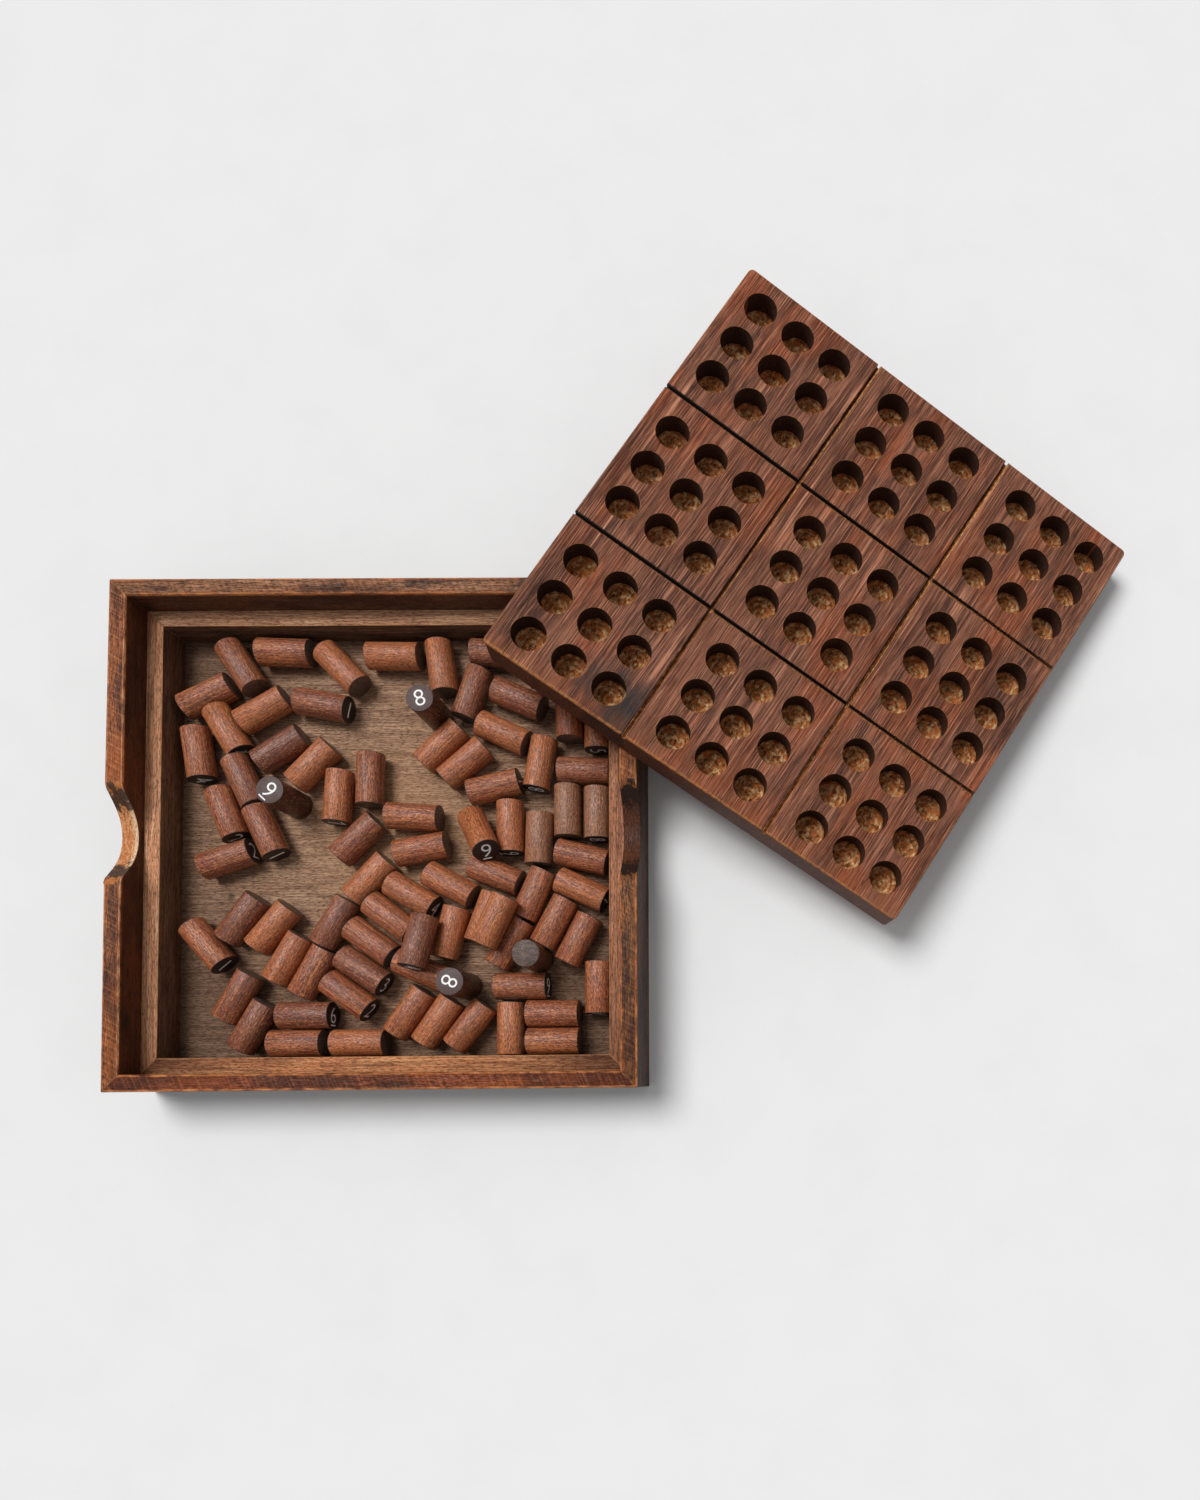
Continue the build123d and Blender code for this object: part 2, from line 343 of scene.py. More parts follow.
@dataclass(frozen=True)
class BurntWall(Wood):
    """Softwood strip, scorched with a flame, brushed and oiled.

    The flame leaves grey-black clouds over the brown, and rubbing brings bright copper
    wood back along the arrises, with the saw's slanting marks still in the rim.
    """

    roughness: float = 0.5
    streak_mm: float = 4.0
    run: Run = Run.ALONG_X
    burn: float = 0.6
    glow: float = 0.6
    raw: float = 1.0
    corner: float = 0.3
    worn: str = "#cf8750"
    half_width_mm: float = 123.0
    half_depth_mm: float = 120.0
    thickness_mm: float = 8.0
    height_mm: float = 34.5
    saw_pitch_mm: float = 1.6

    def material(self) -> Material:
        """Lays up the finish of one wall.

        Returns:
            The material.
        """
        surface = Surface(self)
        surface.turn_grain(Euler((0, 0, math.radians(self.run.value))))
        self.laid_up(surface)
        self.scorch(surface)
        self.saw_marks(surface)
        self.rubbed_arrises(surface)
        self.outside(surface)
        self.scoop(surface)
        self.inside(surface)
        return surface.finished()

    def scorch(self, surface: Surface) -> None:
        """Lays copper glow, clouds of grey-black scorching and darker corners.

        Args:
            surface: the material being laid up.
        """
        surface.figure("#ae5c29", self.glow, (9, 60), (0.44, 0.66), self.shift + 1.9, 4.0)
        surface.figure("#33201a", self.burn, (15, 42), (0.47, 0.62), self.shift + 5.2, 5.0)
        surface.figure("#1b100c", self.burn, (8, 20), (0.56, 0.66), self.shift + 9.4, 5.0)
        along = surface.away[0 if self.run is Run.ALONG_X else 1]
        surface.coat("#45170b", surface.within(along, 118 * MM, 40 * MM), self.corner)

    def saw_marks(self, surface: Surface) -> None:
        """Lays the slanting marks of the saw blade across the rim, with a painted highlight between them.

        Args:
            surface: the material being laid up.
        """
        x, y, z = surface.parts
        slant = surface.uneven(y, x, 0.55) if self.run is Run.ALONG_Y else surface.uneven(x, y, 0.45)
        line = surface.add("CombineXYZ", {0: slant})
        blade = surface.add("TexNoise", {
            "Vector": line, "Scale": 1 / (self.saw_pitch_mm * MM), "Detail": 3.0})
        tooth, gleam = (surface.add("MapRange", {"Value": blade, "From Min": least, "From Max": most})
                        for least, most in ((0.42, 0.62), (0.5, 0.34)))
        on_rim = surface.within(z, (self.height_mm - 0.2) * MM, (self.height_mm - 0.8) * MM)
        # Painted highlight: bright copper lines between the saw marks
        surface.coat("#e39b60", gleam, on_rim, self.glow * 0.25)
        marks = surface.both(tooth, on_rim)
        surface.coat("#34170d", marks, 0.3)
        surface.emboss(marks, 0.08)

    def rubbed_arrises(self, surface: Surface) -> None:
        """Lays copper wood where hands and brush took the stain off the rim's arrises.

        Args:
            surface: the material being laid up.
        """
        across, outer_mm = (0, self.half_width_mm) if self.run is Run.ALONG_Y else (1, self.half_depth_mm)
        out = surface.away[across]
        below = surface.add("Math", {0: self.height_mm * MM, 1: surface.parts[2]}, operation="SUBTRACT")
        reach = []
        for far, near in ((outer_mm * MM, out), (out, (outer_mm - self.thickness_mm) * MM)):
            side = surface.add("Math", {0: far, 1: near}, operation="SUBTRACT")
            reach.append(surface.add("Math", {0: side, 1: below}, operation="MAXIMUM"))
        nearest = surface.add("Math", {0: reach[0], 1: reach[1]}, operation="MINIMUM")
        rough = surface.streaks((2.2, 7.0), (0.25, 0.8), 6.0, 4.0)
        ragged = surface.uneven(nearest, rough, -2.2 * MM)
        surface.coat("#a8572a", surface.within(ragged, -0.9 * MM, 0.6 * MM), 0.8)
        surface.coat("#dc9660", surface.within(ragged, -1.6 * MM, -0.4 * MM), 0.85)
        surface.coat(self.worn, surface.marked(Mark.ARRIS), rough, 0.9)

    def scoop(self, surface: Surface) -> None:
        """Lays raw orange wood in the finger notch, scorched black below its bright shoulders.

        Args:
            surface: the material being laid up.
        """
        cut = surface.marked(Mark.SCOOP)
        surface.coat("#4a2818", cut, 0.9)
        fresh = surface.both(cut, self.raw)
        surface.coat("#d4824a", fresh, 0.95)
        surface.figure("#f0b27c", 0.8, (1.0, 6.0), (0.4, 0.62), 2.4, 4.0, fresh)
        inner_mm = self.half_width_mm - self.thickness_mm
        bright = surface.within(surface.away[0], (inner_mm + 0.8) * MM, (inner_mm + 3.0) * MM)
        surface.coat("#f6d3aa", fresh, bright, 0.85)
        surface.figure("#7a4424", 0.7, (0.6, 1.6), (0.55, 0.61), 6.6, inside=cut)
        bumps = surface.streaks((3.0, 4.5), (0.25, 0.75), 8.8, 5.0)
        height = surface.uneven(surface.parts[2], bumps, 4.5 * MM)
        surface.coat("#24150f", cut, surface.within(height, 31.2 * MM, 28.8 * MM), 0.9)
        surface.coat("#c97c42", cut, surface.within(height, 36.2 * MM, 35.2 * MM), 0.3 + 0.5 * self.raw)

    def inside_of(self, surface: Surface, full_mm: float, none_mm: float) -> list[Socket]:
        """Masks along X and along Y by how far a place is inside the tray's outer faces.

        Args:
            surface: the material being laid up.
            full_mm: where the masks are 1.
            none_mm: where they have faded out.

        Returns:
            The two masks.
        """
        halves = zip(surface.away, (self.half_width_mm, self.half_depth_mm))
        return [surface.within(side, (half - full_mm) * MM, (half - none_mm) * MM) for side, half in halves]

    def outside(self, surface: Surface) -> None:
        """Paints shade over the outer faces, with a little copper left in the clouds.

        Args:
            surface: the material being laid up.
        """
        on_x, on_y = self.inside_of(surface, 0.05, 0.4)
        out = surface.add("Math", {0: on_x, 1: on_y}, operation="MAXIMUM")
        faces = surface.both(out, surface.within(surface.parts[2], 33.5 * MM, 34.2 * MM))
        # Painted shade on the outer faces, darkest in clouds
        surface.coat("#2a150e", faces, 0.6)
        surface.figure("#150c09", 0.6, (12, 40), (0.3, 0.7), self.shift + 14.0, 5.0, faces)

    def inside(self, surface: Surface) -> None:
        """Darkens the inner faces, which the flame left nearly black, with painted shade over them.

        Args:
            surface: the material being laid up.
        """
        near = self.inside_of(surface, self.thickness_mm - 0.1, self.thickness_mm - 0.4)
        # Painted shade over the scorching: the inner faces are darker than the rim
        surface.coat("#3a1f13", *near, surface.within(surface.parts[2], 32.5 * MM, 34.0 * MM), 0.7)


@dataclass(frozen=True)
class Batten(Wood):
    """Hardwood batten, planed and stained a middle brown with darker smears."""

    roughness: float = 0.6
    streak_mm: float = 3.0
    pores: float = 0.5
    run: Run = Run.ALONG_X
    corner: float = 0.3

    def material(self) -> Material:
        """Lays up the finish of one batten.

        Returns:
            The material.
        """
        surface = Surface(self)
        surface.turn_grain(Euler((0, 0, math.radians(self.run.value))))
        self.laid_up(surface)
        surface.figure("#43261a", 0.35, (5, 30), (0.52, 0.7), 4.4, 4.0)
        along = surface.add("Math", {0: surface.grain_parts[0]}, operation="ABSOLUTE")
        surface.coat("#3a190e", surface.within(along, 112 * MM, 45 * MM), self.corner)
        # Partly a darker stain and partly painted shade: the upright faces are darker than the top
        surface.coat("#27130b", surface.within(surface.facing_up, 0.2, 0.8), 0.72)
        surface.coat("#c58c5c", surface.marked(Mark.ARRIS), 0.6)
        return surface.finished()


@dataclass(frozen=True)
class Plywood(Wood):
    """Thin plywood, sanded and thinly stained, grey-brown with fine straight grain."""

    knot_mm: tuple[float, float, float] = (-83.0, -24.0, 4.5)
    # Painted light pools round here, and painted shade darkens the floor towards the battens
    pale_mm: tuple[float, float, float] = (0.0, 10.0, 4.5)

    def material(self) -> Material:
        """Lays up the face veneer with its small knot, painted shade towards the battens and a painted pool
        of light in the middle.

        Returns:
            The material.
        """
        surface = Surface(self)
        self.laid_up(surface)
        from_knot = surface.far_from(Vector(self.knot_mm) * MM)
        surface.coat("#2c1d15", surface.within(from_knot, 0.6 * MM, 2.6 * MM), 0.7)
        # Painted shade far from the spot, and a painted pool of light round it
        out = surface.far_from(Vector(self.pale_mm) * MM)
        surface.coat("#3f2a20", surface.within(out, 135 * MM, 55 * MM), 0.6)
        surface.coat("#c9986e", surface.within(out, 10 * MM, 60 * MM), 0.35)
        return surface.finished()


@dataclass(frozen=True)
class BoardWood(Wood):
    """Solid hardwood, drilled and kerfed, weathered by brushing and a dark stain.

    The drill tears the fibres at the bottom of each hole, which stay golden and are painted brighter as
    painted light, and the stain gathers black in the bores and kerfs, with painted shade on the bores'
    walls and on one wall of the kerfs along the grain.
    """

    kerf_offset_mm: float = 37.45
    half_mm: float = 110.0
    scorch_mm: tuple[float, float, float] = (-44.0, -105.0, 0.0)

    def material(self, pose: "BoardPose") -> Material:
        """Lays up the finish on the leaning board's own axes.

        Args:
            pose: where the board lies.

        Returns:
            The material.
        """
        surface = Surface(self)
        surface.turn_grain(Matrix((pose.away, -pose.along, pose.up)).transposed().to_euler(), pose.middle)
        self.laid_up(surface)
        surface.figure("#a96d52", 0.45, (15, 260), (0.46, 0.6), 2.0)
        surface.figure("#b0562b", 0.55, (30, 80), (0.46, 0.64), 51.0)
        surface.figure("#2a150e", 0.5, (26, 60), (0.48, 0.66), 57.0, 4.0)
        surface.figure("#e09a78", 0.72, (3.4, 110), (0.57, 0.7), 13.0, 4.0)
        # The brushed fibres are about 0.2 mm wide; they are drawn coarser, so that they show
        brushed = surface.figure("#1d0e09", 0.58, (0.5, 50), (0.48, 0.58), 31.0)
        surface.figure("#dc9874", 0.45, (0.5, 25), (0.55, 0.62), 37.0)
        surface.sink(brushed, 0.2)
        self.scorch(surface, pose)
        # Painted shade: the board's sides are darker than its top
        surface.coat("#301309", surface.marked(Mark.SIDE), 0.62)
        surface.figure("#cf8a50", 0.95, (1.6, 6), (0.4, 0.66), 5.0, 4.0, surface.marked(Mark.ARRIS))
        self.kerfs(surface)
        self.holes(surface)
        return surface.finished()

    def scorch(self, surface: Surface, pose: "BoardPose") -> None:
        """Lays a grey scorched patch on the edge over the tray, and a copper edge beside it.

        Args:
            surface: the material being laid up.
            pose: where the board lies.
        """
        cloud = surface.streaks((7, 22), (0.2, 0.8), 8.0, 4.0)
        off = surface.uneven(surface.far_from(pose.point(*self.scorch_mm)), cloud, 20 * MM)
        patch = surface.within(off, 20 * MM, 40 * MM)
        along, across, up = surface.grain_parts
        block = surface.within(across, (self.kerf_offset_mm + 0.4) * MM, (self.kerf_offset_mm - 0.8) * MM)
        surface.coat("#3a3533", patch, block, 0.9)
        surface.coat("#3a2a25", patch, 0.3)
        edge = surface.within(along, (1.0 - self.half_mm) * MM, (12.0 - self.half_mm) * MM)
        surface.coat("#a3592f", edge, cloud, 0.5)
        worn = surface.both(surface.within(along, (0.7 - self.half_mm) * MM, (1.4 - self.half_mm) * MM),
                            surface.within(up, -0.6 * MM, -1.0 * MM))
        surface.figure("#cf8748", 0.6, (1.6, 1.6), (0.3, 0.6), 19.0, 4.0, worn)

    def kerfs(self, surface: Surface) -> None:
        """Lays the kerfs: the stain fills those across the grain black, and those along it stay golden,
        painted brighter as painted light in their shade, with painted shade on their wall turned from the
        light.

        Args:
            surface: the material being laid up.
        """
        surface.coat("#120a07", surface.marked(Mark.KERF), 0.96)
        # Across the grain the black band is stain and the raw band golden-brown wood. Along the grain the
        # black band is painted shade on one wall, and the golden band is painted brighter as painted light
        for axis, stain_and_shade_mm, raw_and_lit_mm, base, fleck in ((0, (-0.2, 0.85), (1.1, 0.4), "#7e4a28", "#bb7c46"),
                                                    (1, (-0.85, 0.25), (0.3, 0.75), "#c4763a", "#ffc880")):
            surface.coat("#150c08", self.band(surface, axis, *stain_and_shade_mm), 0.93)
            band = self.band(surface, axis, *raw_and_lit_mm)
            surface.coat(base, band, 0.97)
            surface.figure(fleck, 0.85, (0.8, 1.9), (0.46, 0.6), 5.0 + axis, 4.0, band)
            surface.figure("#2a150b", 0.7, (0.7, 1.6), (0.55, 0.63), 41.0 + axis, inside=band)

    def band(self, surface: Surface, axis: int, shift_mm: float, half_mm: float) -> Socket:
        """A ragged band beside both kerfs that run one way.

        Args:
            surface: the material being laid up.
            axis: 0 for the kerfs across the grain, and 1 for those along it.
            shift_mm: how far the band's middle is off the kerf's.
            half_mm: half of the band's width.

        Returns:
            A mask, down to the kerf's own depth.
        """
        off = surface.grain_parts[axis]
        for operation, step_mm in (("ADD", shift_mm), ("ABSOLUTE", 0.0), ("SUBTRACT", self.kerf_offset_mm),
                                   ("ABSOLUTE", 0.0)):
            off = surface.add("Math", {0: off, 1: step_mm * MM}, operation=operation)
        edge = surface.uneven(off, surface.streaks((1.2, 2.4), (0.2, 0.8), 27.0 + axis), 0.4 * MM)
        wide = surface.within(edge, (half_mm + 0.1) * MM, (half_mm + 0.25) * MM)
        return surface.both(wide, surface.within(surface.grain_parts[2], -2.7 * MM, -3.2 * MM))

    def holes(self, surface: Surface) -> None:
        """Lays the holes' walls, dark with stain and painted shade, and golden torn fibres at their bottoms
        in the rings that the bit cut, painted brighter as painted light.

        Args:
            surface: the material being laid up.
        """
        # Dark stain with painted shade on the holes' walls
        surface.coat("#27140c", surface.marked(Mark.BORE), 0.85)
        seat = surface.marked(Mark.SEAT)
        # Painted light: the seats are painted brighter than the torn wood is, down in the holes' shade, and
        # the torn fibres carry painted highlights
        surface.coat("#c87338", seat, 0.97)
        torn_and_lit = surface.figure("#ffcb90", 0.85, (2.2, 2.6), (0.42, 0.64), 4.0, 2.5, seat)
        surface.figure("#5e2b12", 0.6, (2.2, 3.4), (0.3, 0.7), 10.0, inside=surface.marked(Mark.GOUGE))
        surface.figure("#34170a", 0.7, (2.3, 2.8), (0.55, 0.64), 14.0, 2.5, seat)
        surface.emboss(surface.both(seat, torn_and_lit), 0.7)


@dataclass(frozen=True)
class PegWood(Wood):
    """Beech dowel, stained reddish brown and dulled, its numbered end inked nearly black."""

    # For pegs that took more stain, for painted shade on the standing pegs, and for pegs that took less and
    # the least:
    # the tone at which it is full, the tone at which it ends, and the share of its colour
    tones: tuple[tuple[str, float, float, float], ...] = (
        ("#5a3027", 0.0, 0.5, 0.6), ("#2c1610", -1.0, -0.1, 0.75),
        ("#cf7a45", 0.8, 0.5, 0.4), ("#75604f", 1.0, 0.9, 0.55))

    def material(self) -> Material:
        """Lays up the finish on each peg's own axes, which its mesh carries.

        Returns:
            The material.
        """
        surface = Surface(self)
        surface.grain = surface.add("Attribute", output="Vector", attribute_name="grain")
        tone = surface.add("Attribute", output="Fac", attribute_name="tone")
        self.laid_up(surface)
        for colour, full, none, share in self.tones:
            surface.coat(colour, surface.within(tone, full, none), share)
        # The stain's flecks are about 0.2 mm; they are drawn coarser, so that they show
        fleck = surface.figure("#38180e", 0.62, (0.42, 1.5), (0.5, 0.58), 17.0, 2.0)
        surface.emboss(fleck, 0.03)
        # Painted highlight: small pale glints along the grain
        surface.figure("#efa978", 0.5, (0.4, 1.6), (0.58, 0.66), 21.0, 2.0)
        surface.coat("#2c150e", surface.marked(Mark.ARRIS), 0.6)
        bare, inked = surface.marked(Mark.BARE), surface.marked(Mark.INKED)
        surface.coat("#69554a", bare, 0.9)
        # The end grain's flecks don't follow the peg's length
        surface.grain = surface.place
        surface.figure("#33241e", 0.7, (0.8, 4.0), (0.4, 0.58), inside=bare)
        surface.coat("#1c1210", inked, 0.97)
        # Painted sheen: the inked ends that face up are lighter, where the light falls on them
        surface.coat("#56413d", inked, surface.within(surface.facing_up, 0.95, 0.8))
        return surface.finished()


@dataclass(frozen=True)
class Plain:
    """A finish of one colour with a faint mottle, such as printing ink or paper."""

    name: str
    colour: str
    mottle: str
    mottle_mm: float
    roughness: float
    ior: float = 1.5
    gloss: float = 0.22

    def material(self) -> Material:
        """Lays up the colour and its mottle.

        Returns:
            The material.
        """
        surface = Surface(self)
        surface.coat(self.colour)
        surface.figure(self.mottle, 1.0, (self.mottle_mm, self.mottle_mm), (0.4, 0.7))
        return surface.finished()


def blank() -> Shape:
    """Starts a mesh that is ready to carry every mark.

    Returns:
        The empty mesh.
    """
    shape = bmesh.new()
    for mark in Mark:
        shape.faces.layers.float.new(mark.value)
    return shape


def mark_faces(shape: Shape, faces: list[bmesh.types.BMFace], mark: Mark) -> None:
    """Marks faces for the finish to find.

    Args:
        shape: the mesh.
        faces: which of its faces.
        mark: where on the piece they lie.
    """
    layer = shape.faces.layers.float[mark.value]
    for face in faces:
        face[layer] = 1.0


def unpacked(node: str) -> Shape:
    """A copy of a CAD node's mesh, closed, with each flat face whole.

    Args:
        node: the CAD node's name.

    Returns:
        A mesh to work on.
    """
    shape = blank()
    shape.from_mesh(frame["nodes"][node].data)
    bmesh.ops.remove_doubles(shape, verts=shape.verts, dist=WELD_MM * MM)
    bmesh.ops.dissolve_limit(shape, angle_limit=math.radians(FLAT_DEGREES), verts=shape.verts,
                             edges=shape.edges)
    return shape


def ease_arrises(shape: Shape, width_mm: float, edges: list[bmesh.types.BMEdge]) -> list[bmesh.types.BMFace]:
    """Rounds edges over and marks the new faces.

    Args:
        shape: the mesh.
        width_mm: how far the rounding reaches from the edge.
        edges: the edges to round.

    Returns:
        The new faces.
    """
    made = bmesh.ops.bevel(shape, geom=edges, offset=width_mm * MM, offset_type="OFFSET", segments=2,
                           profile=0.5, affect="EDGES", clamp_overlap=True, material=-1)["faces"]
    mark_faces(shape, made, Mark.ARRIS)
    return made


def outer_arrises(shape: Shape, least_degrees: float = ARRIS_DEGREES) -> list[bmesh.types.BMEdge]:
    """Finds the edges that stand out and turn by more than an angle.

    Args:
        shape: the mesh.
        least_degrees: the angle.

    Returns:
        Its sharp outer edges.
    """
    least = math.radians(least_degrees)
    return [edge for edge in shape.edges
            if edge.is_manifold and edge.is_convex and edge.calc_face_angle(0.0) > least]


def baked_down(shape: Shape, name: str) -> bpy.types.Mesh:
    """Turns a mesh being worked on to one that Blender keeps.

    Args:
        shape: the mesh; it is freed.
        name: what the kept one is called.

    Returns:
        The kept mesh.
    """
    mesh = bpy.data.meshes.new(name)
    shape.to_mesh(mesh)
    shape.free()
    return mesh


def linked(name: str, data: bpy.types.ID) -> bpy.types.Object:
    """Puts a mesh, a light or a camera into the scene.

    Args:
        name: the object's name.
        data: what it holds.

    Returns:
        The object.
    """
    made = bpy.data.objects.new(name, data)
    bpy.context.scene.collection.objects.link(made)
    return made


def settle(shape: Shape, name: str, material: Material, body: str,
           stands_for: tuple[str, ...] = ()) -> None:
    """Turns a finished mesh into a piece of the object.

    Args:
        shape: the mesh, in the tray's frame; it is freed.
        name: the piece's name.
        material: its finish.
        body: the CAD body that it rides on.
        stands_for: the CAD nodes that it replaces.
    """
    for face in shape.faces:
        face.smooth = True
    mesh = baked_down(shape, name)
    mesh.set_sharp_from_angle(angle=math.radians(CRISP_DEGREES))
    mesh.materials.append(material)
    piece = linked(name, mesh)
    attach(piece, body)
    if stands_for:
        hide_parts(*stands_for)
    log.info("%s: %d faces on %s", name, len(mesh.polygons), body)


@dataclass
class Tray:
    """The open tray: four scorched walls, four mitred battens and a plywood floor."""

    height_mm: float = 34.5
    notch_depth_mm: float = 11.0
    notch_half_mm: float = 20.0
    shoulder_mm: float = 4.0
    shoulder_steps: int = 5
    arris_mm: float = 0.45
    batten_arris_mm: float = 0.35
    floor_arris_mm: float = 0.2
    walls: dict[str, BurntWall] = field(default_factory=lambda: {
        "front": BurntWall("scorched_softwood_front", "#7b3a21", "#ad562c", "#422016", "#26130b",
                           glow=0.55, corner=0.75, shift=20.0),
        "back": BurntWall("scorched_softwood_back", "#9d6a4b", "#cc946c", "#5f3a28", "#2e1910",
                          glow=0.3, corner=0.2, shift=43.0),
        "right": BurntWall("scorched_softwood_right", "#82502f", "#b67848", "#4a2a1a", "#26130b",
                           glow=0.5, burn=0.85, raw=0.0, run=Run.ALONG_Y, shift=61.0),
        "left": BurntWall("scorched_softwood_left", "#ab5d36", "#dd8a50", "#63341f", "#2d160c",
                          glow=0.85, corner=0.35, worn="#f0c093", run=Run.ALONG_Y, shift=87.0),
    })
    # One stain, in a lighter or darker copy for each side as painted light: the left and back battens are
    # painted brighter against the walls' shadow on them, and the right one darker
    battens: dict[str, Batten] = field(default_factory=lambda: {
        "front": Batten("stained_hardwood_batten_front", "#c47a4e", "#e8a672", "#7a4629", "#402214",
                        corner=0.75, shift=20.0),
        "back": Batten("stained_hardwood_batten_back", "#c98d68", "#e6b48e", "#845840", "#4a2a1a",
                       corner=0.15, shift=43.0),
        "right": Batten("stained_hardwood_batten_right", "#a86b4b", "#cd8f69", "#6c4230", "#3a1f14",
                        run=Run.ALONG_Y, shift=61.0),
        "left": Batten("stained_hardwood_batten_left", "#e0996e", "#f6bc90", "#a26848", "#5a3220",
                       run=Run.ALONG_Y, shift=87.0),
    })
    floor: Plywood = Plywood("thin_stained_plywood", "#a07a60", "#c9a283", "#74543f", "#4a3224",
                             roughness=0.7, streak_mm=3.0, fibre_mm=0.8, pore_mm=0.45, pores=0.55)

    def build(self) -> None:
        """Builds and dresses every piece of the tray."""
        for side, finish in self.walls.items():
            wall = unpacked(f"wall_{side}")
            if finish.run is Run.ALONG_Y:
                self.round_shoulders(wall)
                mark_faces(wall, [face for face in wall.faces if self.in_notch(face)], Mark.SCOOP)
            self.dress(wall, f"wall_{side}", "scorched", self.arris_mm, finish.material())
            batten = unpacked(f"ledge_{side}")
            self.dress(batten, f"ledge_{side}", "stained", self.batten_arris_mm,
                       self.battens[side].material())
        self.dress(unpacked("floor_panel"), "floor_panel", "stained", self.floor_arris_mm,
                   self.floor.material())

    def dress(self, shape: Shape, node: str, finished: str, arris_mm: float, material: Material) -> None:
        """Softens a piece's arrises and puts it in the place of its CAD node.

        Args:
            shape: the piece's mesh.
            node: the CAD node.
            finished: the word for its finish, which its name begins with.
            arris_mm: how far the arrises are rounded.
            material: its finish.
        """
        ease_arrises(shape, arris_mm, outer_arrises(shape))
        settle(shape, f"{finished}_{node}", material, "tray", (node,))

    def in_notch(self, face: bmesh.types.BMFace) -> bool:
        """Tells whether a face of a wall belongs to the finger notch or its shoulders.

        Args:
            face: the face.

        Returns:
            True where it does.
        """
        centre = face.calc_center_median()
        low, high = (self.height_mm - self.notch_depth_mm - 0.1) * MM, (self.height_mm - 0.01) * MM
        return (low < centre.z < high and abs(face.normal.x) < UPRIGHT / 3
                and abs(centre.y) < (self.notch_half_mm + self.shoulder_mm) * MM)

    def round_shoulders(self, shape: Shape) -> None:
        """Rounds the notch's shoulders over into the rim, as filing leaves them.

        Args:
            shape: the wall's mesh; its top is shaped in place.
        """
        reach, bottom = self.notch_half_mm + self.shoulder_mm, self.height_mm - self.notch_depth_mm
        for step in range(1, self.shoulder_steps + 1):
            y = (self.notch_half_mm + self.shoulder_mm * step / self.shoulder_steps) * MM
            for sign in (-1, 1):
                bmesh.ops.bisect_plane(shape, geom=shape.verts[:] + shape.edges[:] + shape.faces[:],
                                       plane_co=(0, sign * y, 0), plane_no=(0, 1, 0), dist=1e-7)
        radius = (self.notch_half_mm ** 2 + self.notch_depth_mm ** 2) / (2 * self.notch_depth_mm)
        slope = self.notch_half_mm / (radius - self.notch_depth_mm)
        blend = self.shoulder_mm * slope
        for vert in shape.verts:
            out = abs(vert.co.y) / MM
            if vert.co.z / MM < bottom - 0.01 or out > reach:
                continue
            cut = self.height_mm + slope * (out - self.notch_half_mm)
            if out < self.notch_half_mm:
                cut = bottom + radius - math.sqrt(radius ** 2 - out ** 2)
            near = max(blend - abs(cut - self.height_mm), 0.0) / blend
            vert.co.z = (min(cut, self.height_mm) - near * near * blend / 4) * MM


@dataclass
class BoardPose:
    """Where the board lies: the middle of its top, and its three directions."""

    middle: Vector
    along: Vector
    away: Vector
    up: Vector

    @classmethod
    def found(cls) -> "BoardPose":
        """Reads the pose from the CAD board's own corners and the axis of its hole.

        Returns:
            The pose.
        """
        corners = [v.co.copy() for v in frame["nodes"]["board"].data.vertices]
        mount = next(m for m in frame["record"]["mounts"] if m["kind"] == "bore")
        up = Vector(mount["axis"]).normalized()
        heights = [c.dot(up) for c in corners]
        # The corners that reach furthest along X, either way, are opposite ones of its square
        left, right = min(corners, key=lambda c: c.x), max(corners, key=lambda c: c.x)
        middle = (right + left) / 2
        diagonal = right - left
        diagonal -= up * diagonal.dot(up)
        along = (Matrix.Rotation(math.radians(-45), 3, up) @ diagonal).normalized()
        pose = cls(middle + up * (max(heights) - middle.dot(up)), along, up.cross(along), up)
        log.info("board: the middle of its top is at %s", pose.middle)
        return pose

    def local(self, point: Vector) -> Vector:
        """A point on the board's axes, in metres from the middle of its top."""
        off = point - self.middle
        return Vector((off.dot(self.along), off.dot(self.away), off.dot(self.up)))

    def point(self, x_mm: float, y_mm: float, z_mm: float) -> Vector:
        """A place on the board's axes, in the tray's frame."""
        return self.middle + (self.along * x_mm + self.away * y_mm + self.up * z_mm) * MM


